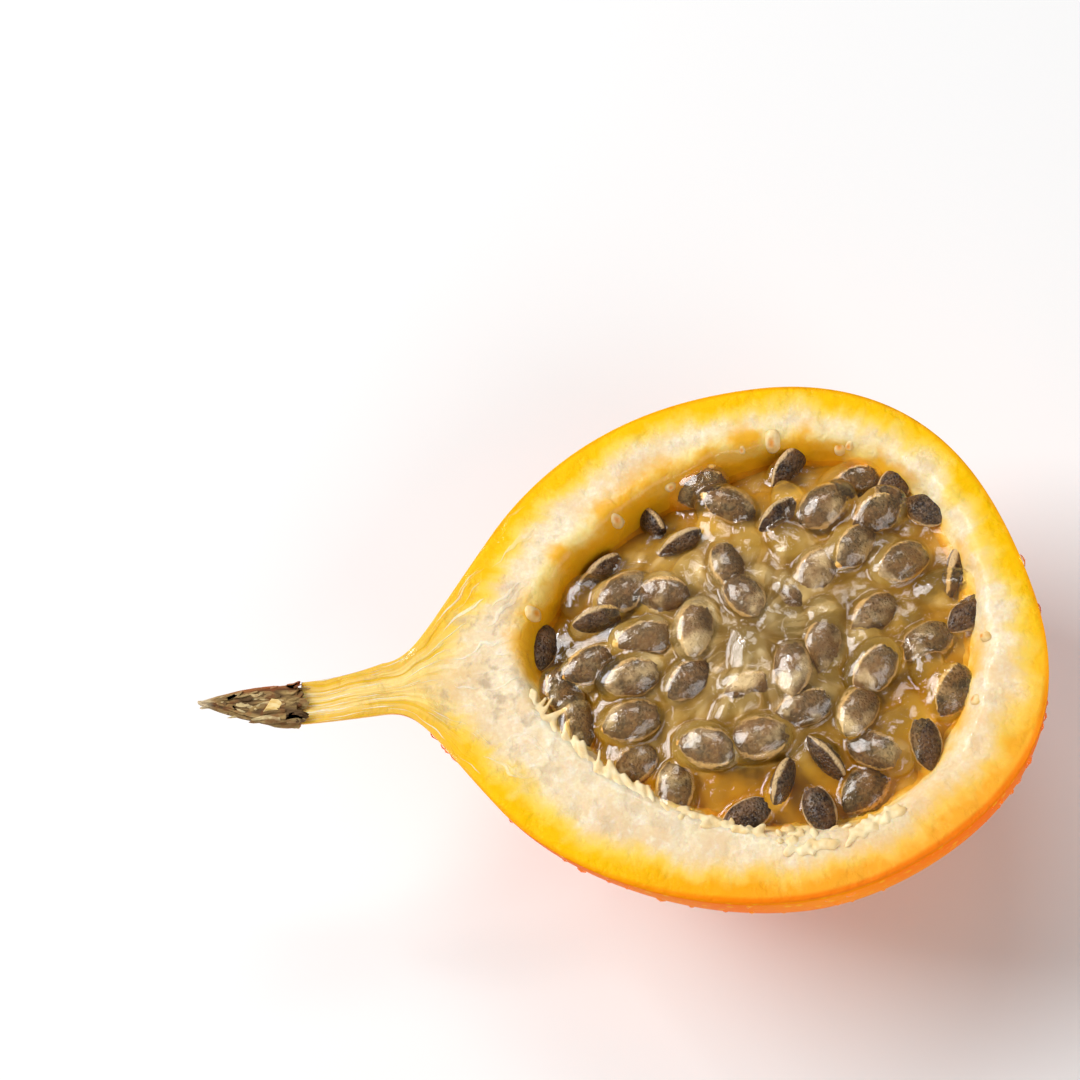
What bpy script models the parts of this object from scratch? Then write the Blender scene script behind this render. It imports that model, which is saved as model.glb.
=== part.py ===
"""Half of a sweet granadilla, a passion fruit cut lengthways through its stem.

Units are metres and +Z is up. The half lies on its skin with the cut face up and level.
+X runs along the fruit, from the stem to the blossom end. The origin is the middle of the
small flat spot that the half rests on. Everything is modelled about the fruit's long axis,
which lies in the cut face, and an empty lifts it all to its height.
"""
import math
import random

import bmesh
import bpy
from mathutils import Vector
from mathutils.geometry import interpolate_bezier

# Body: a blossom side and a stem side of different lengths meet at the widest section
BODY_RADIUS = 0.0331
BLOSSOM_LENGTH = 0.0317
STEM_SIDE_LENGTH = 0.0407
WIDEST_X = 0.0012
FLAT_DEPTH = 0.0010
CUT_HEIGHT = BODY_RADIUS - FLAT_DEPTH

# Neck: a hollow flare from the shoulder down to the stem
SHOULDER_X = WIDEST_X - 0.0343
NECK_X = WIDEST_X - 0.0485
NECK_RADIUS = 0.0033
SHOULDER_HANDLE = 0.0084
NECK_HANDLE = 0.0045

# Unevenness: the long axis bows sideways, and most of all at the neck, and the skin has a
# few broad facets
NECK_SHIFT = 0.0006
NECK_SHIFT_X = -0.0395
BOW = 0.00098
BOW_LENGTH = 0.090
BOW_PEAK_X = WIDEST_X - 0.0085
FACET_DEPTH = 0.027
FACETS_PER_TURN = 4.26
FACET_ANGLE = math.radians(61)

# Cavity: an egg with its narrow end towards the stem, and a rounded lip at the cut
CAVITY_X = -0.0017
CAVITY_Y = 0.0013
CAVITY_HALF_LENGTH = 0.0284
CAVITY_HALF_WIDTH = 0.0252
CAVITY_DEPTH = 0.0246
CAVITY_EGG = 0.25
LIP_RADIUS = 0.0015

# Pulp: a juicy mass that fills the cavity, with an aril round each seed showing as a lump
GAP = 0.0003
PULP_EDGE_DROP = 0.0040
PULP_CROWN = 0.0003
LUMP_FADE = 3
ARIL_RINGS = ((0.84, 17), (0.62, 12), (0.38, 8), (0.12, 2))
ARIL_LENGTH = 0.0088
ARIL_WIDTH = 0.0066
ARIL_RISE = 0.0020
ARIL_JITTER = 0.0010
ARIL_UNEVENNESS = 0.2

# Stem: the pale stalk is halved with the fruit, and its dry end is whole and ragged
STEM_LENGTH = 0.0103
STEM_MIDDLE_RADIUS = 0.0029
STEM_END_RADIUS = 0.0027
STEM_DROOP = 0.0009
TIP_LENGTH = 0.0130
TIP_SHAPE = ((0, 0.0027), (0.08, 0.0029), (0.16, 0.0030), (0.24, 0.0031), (0.35, 0.0028), (0.46, 0.0024),
             (0.57, 0.0020), (0.68, 0.0016), (0.79, 0.0012), (0.90, 0.0007), (1, 0.0003))
TIP_RISE = 0.0015
TIP_RISE_POWER = 1.6
TIP_TOP = 0.0010
TIP_RIDGES = 7
TIP_RIDGE_TWIST = 3
TIP_RIDGE_DEPTH = 0.10
TIP_FLAKE_DEPTH = 0.09

# Mesh steps
TURN_STEPS = 64
FLARE_STEPS = 9
STEM_SIDE_STEPS = 12
BLOSSOM_STEPS = 12
CAVITY_STEPS = 48
CAVITY_WALL_STEPS = 11
LIP_STEPS = 3
PULP_STEPS = 72
PULP_RINGS = 20
PULP_WALL_STEPS = 9
PULP_WALL_RINGS = 8
STEM_STEPS = 24
SHARP_ANGLE = math.radians(35)
MERGE = 0.000001

# Seed of the uneven places and sizes
SEED = 7


# ---- shapes ---------------------------------------------------------------------------

def bow(x):
    """Sideways place of the fruit's long axis at x, along the body and out along the stem."""
    body_x = max(x, NECK_X)
    sway = BOW * math.cos(2 * math.pi * (body_x - BOW_PEAK_X) / BOW_LENGTH)
    near_neck = min(max((NECK_SHIFT_X - body_x) / (NECK_SHIFT_X - NECK_X), 0), 1)
    sway -= NECK_SHIFT * near_neck * near_neck * (3 - 2 * near_neck)
    out = min(max(NECK_X - x, 0) / STEM_LENGTH, 1)
    return sway - STEM_DROOP * out * (2 - out)


def facets(x, y):
    """Scale of the skin's distance from the middle, in the direction of x, y."""
    angle = math.atan2(y, x - WIDEST_X)
    blossom_side = (1 + math.cos(angle)) / 2
    return 1 + FACET_DEPTH * blossom_side * math.cos(FACETS_PER_TURN * (angle - FACET_ANGLE))


def uneven(x, y, z):
    """Moves a point of the even body of revolution to the real fruit's skin."""
    scale = facets(x, y)
    return Vector((WIDEST_X + (x - WIDEST_X) * scale, y * scale + bow(x), z))


def stem_side_radius(x):
    """Radius of the ellipse between the shoulder and the widest section."""
    return BODY_RADIUS * math.sqrt(1 - ((WIDEST_X - x) / STEM_SIDE_LENGTH) ** 2)


def body_profile():
    """Points (x, 0, radius) of the skin, from the neck to the blossom end."""
    shoulder = Vector((SHOULDER_X, 0, stem_side_radius(SHOULDER_X)))
    run = (WIDEST_X - SHOULDER_X) / STEM_SIDE_LENGTH
    slope = BODY_RADIUS / STEM_SIDE_LENGTH * run / math.sqrt(1 - run * run)
    neck = Vector((NECK_X, 0, NECK_RADIUS))
    neck_handle = neck + Vector((NECK_HANDLE, 0, 0))
    shoulder_handle = shoulder - SHOULDER_HANDLE * Vector((1, 0, slope))
    profile = interpolate_bezier(neck, neck_handle, shoulder_handle, shoulder, FLARE_STEPS)
    first = math.acos(run)
    for i in range(1, STEM_SIDE_STEPS + 1):
        angle = first + (math.pi / 2 - first) * i / STEM_SIDE_STEPS
        x = WIDEST_X - STEM_SIDE_LENGTH * math.cos(angle)
        profile.append(Vector((x, 0, stem_side_radius(x))))
    for i in range(1, BLOSSOM_STEPS + 1):
        angle = math.pi / 2 * i / BLOSSOM_STEPS
        x = WIDEST_X + BLOSSOM_LENGTH * math.sin(angle)
        profile.append(Vector((x, 0, BODY_RADIUS * math.cos(angle))))
    return profile


def cavity_point(ux, uy, depth, inset):
    """A point of the cavity's wall, or of one set in from it, from a unit plan direction
    and a depth below the cut. The wall flares out by the lip's round just under the cut."""
    half_length = CAVITY_HALF_LENGTH - inset
    half_width = CAVITY_HALF_WIDTH - inset
    full_depth = CAVITY_DEPTH - inset
    down = min(max(depth / full_depth, 0), 1)
    across = math.sqrt(1 - down * down)
    lip = 0
    if depth < LIP_RADIUS:
        lip = LIP_RADIUS - math.sqrt(LIP_RADIUS ** 2 - (LIP_RADIUS - max(depth, 0)) ** 2)
    egg = 1 + CAVITY_EGG * ux * across
    x = CAVITY_X + half_length * ux * across + lip * ux
    y = CAVITY_Y + half_width * uy * across * egg + lip * uy
    return Vector((x, y, -depth * (1 + CAVITY_EGG * ux * across * down)))


# ---- mesh helpers -----------------------------------------------------------------------

def spun(bm, profile, axis, steps):
    """Turns a profile of points all the way round an axis through the local origin."""
    verts = [bm.verts.new(point) for point in profile]
    edges = [bm.edges.new(pair) for pair in zip(verts, verts[1:])]
    bmesh.ops.spin(bm, geom=verts + edges, cent=(0, 0, 0), axis=axis, angle=2 * math.pi,
                   steps=steps, use_merge=True)
    bmesh.ops.remove_doubles(bm, verts=bm.verts[:], dist=MERGE)


def close_holes(bm):
    """Fills every open outline with one face."""
    rims = [edge for edge in bm.edges if edge.is_boundary]
    return bmesh.ops.holes_fill(bm, edges=rims, sides=0)["faces"]


def cut_flat(bm, height, side):
    """Cuts off what lies above (side 1) or below (side -1) a level, and closes the cut."""
    geometry = bm.verts[:] + bm.edges[:] + bm.faces[:]
    bmesh.ops.bisect_plane(bm, geom=geometry, plane_co=(0, 0, height), plane_no=(0, 0, side),
                           clear_outer=True, dist=MERGE)
    return close_holes(bm)


def material(name, colour, roughness):
    made = bpy.data.materials.new(name)
    made.use_nodes = True
    shader = made.node_tree.nodes["Principled BSDF"]
    shader.inputs["Base Color"].default_value = (*colour, 1)
    shader.inputs["Roughness"].default_value = roughness
    shader.inputs["Metallic"].default_value = 0
    return made


def finished(bm, name, parent, materials):
    """Makes an object from a bmesh, with its faces out and its round parts smooth."""
    bmesh.ops.recalc_face_normals(bm, faces=bm.faces[:])
    mesh = bpy.data.meshes.new(name)
    bm.to_mesh(mesh)
    bm.free()
    mesh.shade_smooth()
    mesh.set_sharp_from_angle(angle=SHARP_ANGLE)
    for made in materials:
        mesh.materials.append(made)
    thing = bpy.data.objects.new(name, mesh)
    bpy.context.collection.objects.link(thing)
    thing.parent = parent
    return thing


# ---- sub-parts ---------------------------------------------------------------------------

def make_shell(parent, pith, peel):
    """The wall: orange peel outside and white pith inside, hollowed by the cavity."""
    bm = bmesh.new()
    spun(bm, body_profile(), (1, 0, 0), TURN_STEPS)
    close_holes(bm)
    for vert in bm.verts:
        vert.co = uneven(*vert.co)
    for face in bm.faces:
        face.material_index = 1
    for face in cut_flat(bm, 0, 1):
        face.material_index = 0
    for face in cut_flat(bm, FLAT_DEPTH - BODY_RADIUS, -1):
        face.material_index = 1
    shell = finished(bm, "shell", parent, (pith, peel))

    cut = shell.modifiers.new("cavity", "BOOLEAN")
    cut.operation = "DIFFERENCE"
    cut.object = make_cavity_cutter(parent, pith)
    return shell


def cavity_depths():
    """Depths of the wall's rings from the bottom up: even steps of angle, then the lip's."""
    wall_step = math.pi / 2 / CAVITY_WALL_STEPS
    lip_step = math.pi / 2 / LIP_STEPS
    wall = [CAVITY_DEPTH * math.cos(wall_step * i) for i in range(CAVITY_WALL_STEPS)]
    lip = [LIP_RADIUS * (1 - math.sin(lip_step * i)) for i in range(LIP_STEPS + 1)]
    return wall + lip


def make_cavity_cutter(parent, pith):
    """The egg-shaped space inside the shell, which stands out above the cut face."""
    bm = bmesh.new()
    rings = cavity_depths()
    profile = [Vector((math.sqrt(1 - (depth / CAVITY_DEPTH) ** 2), 0, -depth)) for depth in rings]
    profile.append(Vector((1, 0, 2 * LIP_RADIUS)))
    profile.append(Vector((0, 0, 2 * LIP_RADIUS)))
    spun(bm, profile, (0, 0, 1), CAVITY_STEPS)
    for vert in bm.verts:
        direction = vert.co.xy.normalized()
        vert.co = cavity_point(direction.x, direction.y, -vert.co.z, 0)
    cutter = finished(bm, "cavity_cutter", parent, (pith,))
    cutter.hide_render = True
    cutter.display_type = "WIRE"
    return cutter


def aril_sites():
    """Places (x, y, angle) of the arils: rings that follow the wall, each a little off."""
    pick = random.Random(SEED)
    sites = []
    for reach, count in ARIL_RINGS:
        start = pick.uniform(0, 2 * math.pi)
        for i in range(count):
            off = pick.uniform(-1, 1) * ARIL_UNEVENNESS
            angle = start + 2 * math.pi * (i + off) / count
            ux = math.cos(angle)
            uy = math.sin(angle)
            x = CAVITY_X + CAVITY_HALF_LENGTH * reach * ux + pick.uniform(-1, 1) * ARIL_JITTER
            egg = 1 + CAVITY_EGG * ux * reach
            y = CAVITY_Y + CAVITY_HALF_WIDTH * reach * uy * egg + pick.uniform(-1, 1) * ARIL_JITTER
            sites.append((x, y, pick.uniform(0, math.pi)))
    return sites


def lump(x, y, sites):
    """Rise of the pulp at x, y over its mean surface: the highest of the arils there."""
    rise = 0
    for site_x, site_y, angle in sites:
        along = (x - site_x) * math.cos(angle) + (y - site_y) * math.sin(angle)
        across = (y - site_y) * math.cos(angle) - (x - site_x) * math.sin(angle)
        reach = (2 * along / ARIL_LENGTH) ** 2 + (2 * across / ARIL_WIDTH) ** 2
        if reach < 1:
            rise = max(rise, ARIL_RISE * (1 - reach))
    return rise


def make_pulp(parent, pulp_material):
    """The mass of arils and juice: it follows the cavity below, and is lumpy above."""
    bm = bmesh.new()
    wall_step = math.pi / 2 / PULP_WALL_STEPS
    wall = [CAVITY_DEPTH * math.cos(wall_step * i) for i in range(PULP_WALL_RINGS)]
    full_depth = CAVITY_DEPTH - GAP
    profile = []
    for depth in wall:
        down = min(depth, full_depth) / full_depth
        profile.append(Vector((math.sqrt(1 - down * down), 0, -down * full_depth)))
    edge_down = PULP_EDGE_DROP / full_depth
    edge_reach = math.sqrt(1 - edge_down * edge_down)
    for i in range(PULP_RINGS + 1):
        profile.append(Vector((edge_reach * (1 - i / PULP_RINGS), 0, -PULP_EDGE_DROP)))
    spun(bm, profile, (0, 0, 1), PULP_STEPS)
    sites = aril_sites()
    for vert in bm.verts:
        reach = vert.co.xy.length
        direction = vert.co.xy.normalized()
        depth = -vert.co.z
        if depth > PULP_EDGE_DROP + MERGE:
            vert.co = cavity_point(direction.x, direction.y, depth, GAP)
            continue
        rim = cavity_point(direction.x, direction.y, PULP_EDGE_DROP, GAP)
        middle = Vector((CAVITY_X, CAVITY_Y, rim.z))
        share = reach / edge_reach
        place = middle.lerp(rim, share)
        inward = 1 - share * share
        place.z += (PULP_CROWN - rim.z) * inward
        place.z += lump(place.x, place.y, sites) * min(1, LUMP_FADE * inward)
        vert.co = place
    return finished(bm, "pulp", parent, (pulp_material,))


def make_stem(parent, stem_material):
    """The pale stalk, from just outside the neck to the joint of its dry end."""
    start = NECK_X - GAP
    end = NECK_X - STEM_LENGTH
    middle = (start + end) / 2
    profile = [Vector((end, 0, STEM_END_RADIUS)), Vector((middle, 0, STEM_MIDDLE_RADIUS)),
               Vector(((middle + start) / 2, 0, (STEM_MIDDLE_RADIUS + NECK_RADIUS) / 2)),
               Vector((start, 0, NECK_RADIUS))]
    bm = bmesh.new()
    spun(bm, profile, (1, 0, 0), STEM_STEPS)
    close_holes(bm)
    for vert in bm.verts:
        vert.co.y += bow(vert.co.x)
    cut_flat(bm, 0, 1)
    return finished(bm, "stem", parent, (stem_material,))


def make_stem_tip(parent, dry_material):
    """The dried end: it swells just past the joint, then ridges and flakes run to a point."""
    pick = random.Random(SEED)
    start = NECK_X - STEM_LENGTH - GAP
    bm = bmesh.new()
    spun(bm, [Vector((start - TIP_LENGTH * along, 0, radius)) for along, radius in TIP_SHAPE],
         (1, 0, 0), STEM_STEPS)
    close_holes(bm)
    for vert in bm.verts:
        angle = math.atan2(vert.co.z, vert.co.y)
        along = (start - vert.co.x) / TIP_LENGTH
        scale = 1 + TIP_RIDGE_DEPTH * math.cos(TIP_RIDGES * angle + TIP_RIDGE_TWIST * along)
        scale += TIP_FLAKE_DEPTH * pick.uniform(-1, 1) * math.sin(math.pi * along)
        rise = TIP_RISE * max(along, 0) ** TIP_RISE_POWER
        vert.co.y = vert.co.y * scale + bow(vert.co.x) + rise
        vert.co.z = min(vert.co.z * scale, TIP_TOP)
    return finished(bm, "stem_tip", parent, (dry_material,))


def main():
    for thing in list(bpy.data.objects):
        bpy.data.objects.remove(thing, do_unlink=True)

    pith = material("pith", (0.90, 0.74, 0.48), 0.55)
    peel = material("peel", (0.93, 0.28, 0.01), 0.30)
    pulp = material("pulp", (0.34, 0.22, 0.09), 0.12)
    stem = material("stem", (0.86, 0.60, 0.16), 0.50)
    dry = material("dry_stem", (0.22, 0.10, 0.03), 0.80)

    axis = bpy.data.objects.new("fruit_axis", None)
    bpy.context.collection.objects.link(axis)
    axis.location.z = CUT_HEIGHT

    make_shell(axis, pith, peel)
    make_pulp(axis, pulp)
    make_stem(axis, stem)
    make_stem_tip(axis, dry)


main()
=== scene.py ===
# %% [markdown]
# # Half of a sweet granadilla
# A sweet granadilla is a kind of passion fruit. This one was cut lengthways, so it shows its
# orange peel, a yellow band of outer flesh, thick cream pith, and a hollow full of dark seeds.
# Each seed sits in a sac of clear jelly, an aril, and amber juice fills the gaps.
# This notebook dresses the plain solids of the half: every cell makes one piece or one finish.

# %% Load the solids that every piece is fitted to
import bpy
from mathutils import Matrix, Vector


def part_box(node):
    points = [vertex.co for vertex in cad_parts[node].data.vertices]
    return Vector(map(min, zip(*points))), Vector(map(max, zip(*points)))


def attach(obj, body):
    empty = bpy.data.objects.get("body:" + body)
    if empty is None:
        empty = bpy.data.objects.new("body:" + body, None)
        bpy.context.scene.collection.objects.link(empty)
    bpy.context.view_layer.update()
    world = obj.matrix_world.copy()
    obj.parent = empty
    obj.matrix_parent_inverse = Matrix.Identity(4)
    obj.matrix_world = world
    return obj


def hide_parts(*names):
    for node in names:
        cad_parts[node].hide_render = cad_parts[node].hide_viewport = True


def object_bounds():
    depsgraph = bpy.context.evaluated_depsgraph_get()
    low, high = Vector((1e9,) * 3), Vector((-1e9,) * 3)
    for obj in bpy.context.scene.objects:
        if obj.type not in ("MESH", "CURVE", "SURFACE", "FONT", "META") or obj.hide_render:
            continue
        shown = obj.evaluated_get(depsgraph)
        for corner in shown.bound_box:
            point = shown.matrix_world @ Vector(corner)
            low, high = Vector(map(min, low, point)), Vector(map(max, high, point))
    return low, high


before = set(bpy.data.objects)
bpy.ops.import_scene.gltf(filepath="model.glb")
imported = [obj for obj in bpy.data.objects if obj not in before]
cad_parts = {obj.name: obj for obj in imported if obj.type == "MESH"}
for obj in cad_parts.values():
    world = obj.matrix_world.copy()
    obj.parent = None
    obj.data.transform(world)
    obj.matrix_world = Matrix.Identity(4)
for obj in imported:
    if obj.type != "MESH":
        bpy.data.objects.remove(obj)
cad_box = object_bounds()
print("solids:", sorted(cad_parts))

# %% Modules and a source of repeatable chance
import math
import random

import bmesh
import bpy
from mathutils import Euler, Matrix, Vector, noise
from mathutils.geometry import interpolate_bezier
from mathutils.kdtree import KDTree

MM = 0.001
MERGE = 0.001 * MM
TURN = 2 * math.pi

# %% [markdown]
# ## Sizes
# The solids set where everything goes. The cut face is level with the top of the shell, and
# the fruit's long axis lies in it. The skin is a surface of revolution about that axis: a short
# round side, a longer side towards the stem, and a hollow flare down to the stalk. The visible
# pieces follow the same curves as the solids, only in finer steps.

# %% Sizes of the fruit, in metres
shell_low, shell_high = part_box("shell")
tip_low, tip_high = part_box("stem_tip")
cut_height = shell_high.z
flat_depth = 1.0 * MM
body_radius = cut_height + flat_depth
neck_x = shell_low.x
widest_x = neck_x + 48.5 * MM
blossom_length = 31.7 * MM
stem_side_length = 40.7 * MM
shoulder_x = widest_x - 34.3 * MM
neck_radius = 3.3 * MM
stem_length = 10.3 * MM
tip_start_x = tip_high.x
tip_length = tip_high.x - tip_low.x
cavity_middle = Vector((-1.7 * MM, 1.3 * MM))
cavity_half_length = 28.4 * MM
cavity_half_width = 25.2 * MM
cavity_depth = 24.6 * MM
cavity_egg = 0.25
print("cut face at", round(cut_height / MM, 2), "mm, neck at", round(neck_x / MM, 2), "mm")

# %% [markdown]
# ## The skin's curve
# A real fruit is never quite even. Its long axis bows a little, and the skin has broad facets
# where it pressed on its neighbours. Both are small smooth functions of place, so the even
# body is built first, and each of its points is then moved to the uneven one.

# %% Functions for the uneven body
def bow(x):
    """Sideways place of the long axis at x, along the body and out along the stalk."""
    body_x = max(x, neck_x)
    sway = 0.98 * MM * math.cos(TURN * (body_x - widest_x + 8.5 * MM) / (90 * MM))
    near_neck = min(max((widest_x - 40.7 * MM - body_x) / (7.8 * MM), 0), 1)
    sway -= 0.6 * MM * near_neck * near_neck * (3 - 2 * near_neck)
    out = min(max(neck_x - x, 0) / stem_length, 1)
    return sway - 0.9 * MM * out * (2 - out)


def uneven(point):
    """Moves a point of the even body to the real skin."""
    angle = math.atan2(point.y, point.x - widest_x)
    blossom_side = (1 + math.cos(angle)) / 2
    scale = 1 + 0.027 * blossom_side * math.cos(4.26 * (angle - math.radians(61)))
    x = widest_x + (point.x - widest_x) * scale
    return Vector((x, point.y * scale + bow(point.x), point.z))


def stem_side_radius(x):
    """Radius of the body between the shoulder and the widest section."""
    return body_radius * math.sqrt(1 - ((widest_x - x) / stem_side_length) ** 2)


def stations():
    """Places (x, radius) along the axis, from the stalk's end to the blossom end."""
    places = []
    for i in range(30):
        out = 1 - i / 30
        radius = 2.7 * MM + 0.6 * MM * (1 - out) ** 2
        places.append((neck_x - stem_length * out, radius))
    run = (widest_x - shoulder_x) / stem_side_length
    slope = body_radius / stem_side_length * run / math.sqrt(1 - run * run)
    neck = Vector((neck_x, neck_radius))
    shoulder = Vector((shoulder_x, stem_side_radius(shoulder_x)))
    near_neck = neck + Vector((4.5 * MM, 0))
    near_shoulder = shoulder - 8.4 * MM * Vector((1, slope))
    flare = interpolate_bezier(neck.to_3d(), near_neck.to_3d(), near_shoulder.to_3d(), shoulder.to_3d(), 33)
    places += [(point.x, point.y) for point in flare]
    first = math.acos(run)
    for i in range(1, 91):
        x = widest_x - stem_side_length * math.cos(first + (math.pi / 2 - first) * i / 90)
        places.append((x, stem_side_radius(x)))
    for i in range(1, 109):
        angle = math.pi / 2 * i / 108
        places.append((widest_x + blossom_length * math.sin(angle), body_radius * math.cos(angle)))
    return places


skin_stations = stations()
print(len(skin_stations), "stations from x", round(skin_stations[0][0] / MM, 1), "to",
      round(skin_stations[-1][0] / MM, 1), "mm")

# %% [markdown]
# ## The hollow's curve
# The hollow is an egg with its narrow end towards the stalk. A point of the cut face is
# described by its reach: 0 in the middle of the hollow, 1 on its edge. Inside the edge, the
# flat sheet of the cut face is pushed down: first round a soft lip, then down the wall. Every
# step on the flat becomes a step along the wall, so the wall is as finely divided as the face.

# %% Functions for the hollow
def reach_of(x, y):
    """How far x, y lies from the middle of the hollow to its edge, with the direction."""
    along = (x - cavity_middle.x) / cavity_half_length
    across = (y - cavity_middle.y) / (cavity_half_width * (1 + cavity_egg * min(max(along, -1), 1)))
    return math.hypot(along, across), Vector((along, across)).normalized()


def plan_point(direction, reach):
    """The point of the plan at a reach in a direction."""
    egg = 1 + cavity_egg * direction.x * reach
    return cavity_middle + Vector((cavity_half_length * direction.x * reach,
                                   cavity_half_width * direction.y * reach * egg))


def far_side(direction):
    """1 on the side of the hollow where the pulp lies deep, 0 on the other sides."""
    return max(0.0, direction.dot(Vector((-0.55, 0.83))))


def hollow(x, y):
    """The place of a cut face point once the hollow is pushed in, and its path down the wall."""
    reach, direction = reach_of(x, y)
    radius = (plan_point(direction, 1) - cavity_middle).length
    steep = math.radians(62 + 8 * far_side(direction) - 8 * max(0.0, direction.x))
    lip = 2.2 * MM
    outer = radius + 1.1 * MM
    inward = outer - reach * radius
    if inward <= 0:
        return Vector((x, y, 0)), inward
    path = inward * 1.5
    lip_path = lip * steep
    slope_path = 5.7 * MM / math.sin(steep)
    if path < lip_path:
        across, down = lip * math.sin(path / lip), lip * (1 - math.cos(path / lip))
    elif path < lip_path + slope_path:
        run = path - lip_path
        across = lip * math.sin(steep) + run * math.cos(steep)
        down = lip * (1 - math.cos(steep)) + run * math.sin(steep)
    else:
        edge = lip * math.sin(steep) + slope_path * math.cos(steep)
        brim = lip * (1 - math.cos(steep)) + slope_path * math.sin(steep)
        share = (path - lip_path - slope_path) / (outer * 1.5 - lip_path - slope_path)
        across = outer - (outer - edge) * math.cos(math.pi / 2 * share)
        down = brim + (cavity_depth - brim) * math.sin(math.pi / 2 * share)
    place = plan_point(direction, (outer - across) / radius)
    return Vector((place.x, place.y, -down)), path


print("hollow is", round(2 * cavity_half_length / MM, 1), "mm long")

# %% [markdown]
# ## A helper that finishes a piece
# A bmesh is a scratch mesh. When its shape is ready it becomes an object that sits at the
# origin, unturned, with its faces pointing out. Every piece rides on the one body, root.

# %% Helper: make an object of a bmesh
def finish_piece(bm, name, materials, sharp=None):
    bmesh.ops.recalc_face_normals(bm, faces=bm.faces[:])
    mesh = bpy.data.meshes.new(name)
    bm.to_mesh(mesh)
    bm.free()
    mesh.shade_smooth()
    if sharp is not None:
        mesh.set_sharp_from_angle(angle=math.radians(sharp))
    for finish in materials:
        mesh.materials.append(finish)
    piece = bpy.data.objects.new(name, mesh)
    bpy.context.collection.objects.link(piece)
    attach(piece, "root")
    print(name, len(mesh.vertices), "points,", len(mesh.loop_triangles) or len(mesh.polygons), "faces")
    return piece


# %% Helper: add a turned copy of a mesh to a bmesh
def add_copy(bm, mesh, matrix):
    """Adds the mesh's points to the bmesh, moved by the matrix, and returns them."""
    before = len(bm.verts)
    bm.from_mesh(mesh)
    bm.verts.ensure_lookup_table()
    made = bm.verts[before:]
    bmesh.ops.transform(bm, matrix=matrix, verts=made)
    return made


def spin_profile(bm, profile, steps):
    """Spins a profile of (reach, height) about the upright axis into a bowl."""
    points = [bm.verts.new((reach, 0, z)) for reach, z in profile]
    edges = [bm.edges.new(pair) for pair in zip(points, points[1:])]
    bmesh.ops.spin(bm, geom=points + edges, cent=(0, 0, 0), axis=(0, 0, 1), angle=TURN, steps=steps,
                   use_merge=True)


def pattern_mesh(name, bm):
    """Keeps a bmesh as a mesh to copy from."""
    mesh = bpy.data.meshes.new(name)
    bm.to_mesh(mesh)
    bm.free()
    return mesh


# %% Helpers: smooth a mesh, and fuse a heap of overlapping forms into one skin
def smooth_all(bm, rounds):
    for _ in range(rounds):
        bmesh.ops.smooth_vert(bm, verts=bm.verts[:], factor=0.5, use_axis_x=True, use_axis_y=True,
                              use_axis_z=True)


def fuse_mesh(piece, voxel, rounds):
    """Replaces the piece's mesh by one remeshed and smoothed skin, with its first material."""
    fuse = piece.modifiers.new("fuse", "REMESH")
    fuse.mode = "VOXEL"
    fuse.voxel_size = voxel
    fused = bpy.data.meshes.new_from_object(piece.evaluated_get(bpy.context.evaluated_depsgraph_get()))
    piece.modifiers.clear()
    bm = bmesh.new()
    bm.from_mesh(fused)
    smooth_all(bm, rounds)
    bm.to_mesh(fused)
    bm.free()
    fused.materials.clear()
    fused.materials.append(piece.data.materials[0])
    fused.shade_smooth()
    piece.data = fused
    print(piece.name, "fused:", len(fused.polygons), "faces")


# %% [markdown]
# ## Helpers that wire shader nodes
# A material is a small network. One helper adds a node and fills its sockets, with a number or
# with a link, so that each material below reads as a list of what feeds what.

# %% Helpers: nodes
def add(tree, kind, sockets=(), **settings):
    """Adds a node. Sockets are given by name or number, as plain values or as links."""
    made = tree.nodes.new(kind)
    for key, value in settings.items():
        setattr(made, key, value)
    for key, value in dict(sockets).items():
        if isinstance(value, bpy.types.NodeSocket):
            tree.links.new(value, made.inputs[key])
        else:
            made.inputs[key].default_value = value
    return made


def calc(tree, operation, first, second=0.0):
    """One step of arithmetic on two values."""
    return add(tree, "ShaderNodeMath", {0: first, 1: second}, operation=operation).outputs[0]


def times(tree, first, second):
    return calc(tree, "MULTIPLY", first, second)


def plus(tree, first, second):
    return calc(tree, "ADD", first, second)


def minus(tree, first, second):
    return calc(tree, "SUBTRACT", first, second)


def blend(tree, share, first, second):
    """Blends two colours by a share between 0 and 1."""
    return add(tree, "ShaderNodeMix", {0: share, 6: first, 7: second}, data_type="RGBA").outputs[2]


def weighted(tree, *parts):
    """The sum of some values, each times its weight."""
    whole = 0.0
    for value, weight in parts:
        whole = plus(tree, whole, times(tree, value, weight))
    return whole


def tint(tree, base, mask, most, second):
    """Brings a second colour into a base where a mask is 1, and at most by this share."""
    return blend(tree, times(tree, mask, most), base, second)


def spread(tree, value, low, high, to_low=0.0, to_high=1.0):
    """Stretches a value from one range to another, smoothly and within limits."""
    return add(tree, "ShaderNodeMapRange", {0: value, 1: low, 2: high, 3: to_low, 4: to_high},
               interpolation_type="SMOOTHSTEP").outputs[0]


def object_place(tree):
    """The x, y and z of a point in the object, in metres."""
    place = add(tree, "ShaderNodeTexCoord").outputs["Object"]
    return add(tree, "ShaderNodeSeparateXYZ", {0: place}).outputs


def attribute(tree, name):
    return add(tree, "ShaderNodeAttribute", attribute_name=name).outputs["Fac"]


def new_material(name):
    """A material with its shader and its output, wired and ready for sockets to be set."""
    made = bpy.data.materials.new(name)
    made.use_nodes = True
    made.node_tree.nodes.clear()
    shader = add(made.node_tree, "ShaderNodeBsdfPrincipled")
    output = add(made.node_tree, "ShaderNodeOutputMaterial", {"Surface": shader.outputs[0]})
    return made, made.node_tree, shader, output


def set_sockets(shader, values):
    for name, value in values.items():
        shader.inputs[name].default_value = value


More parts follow.
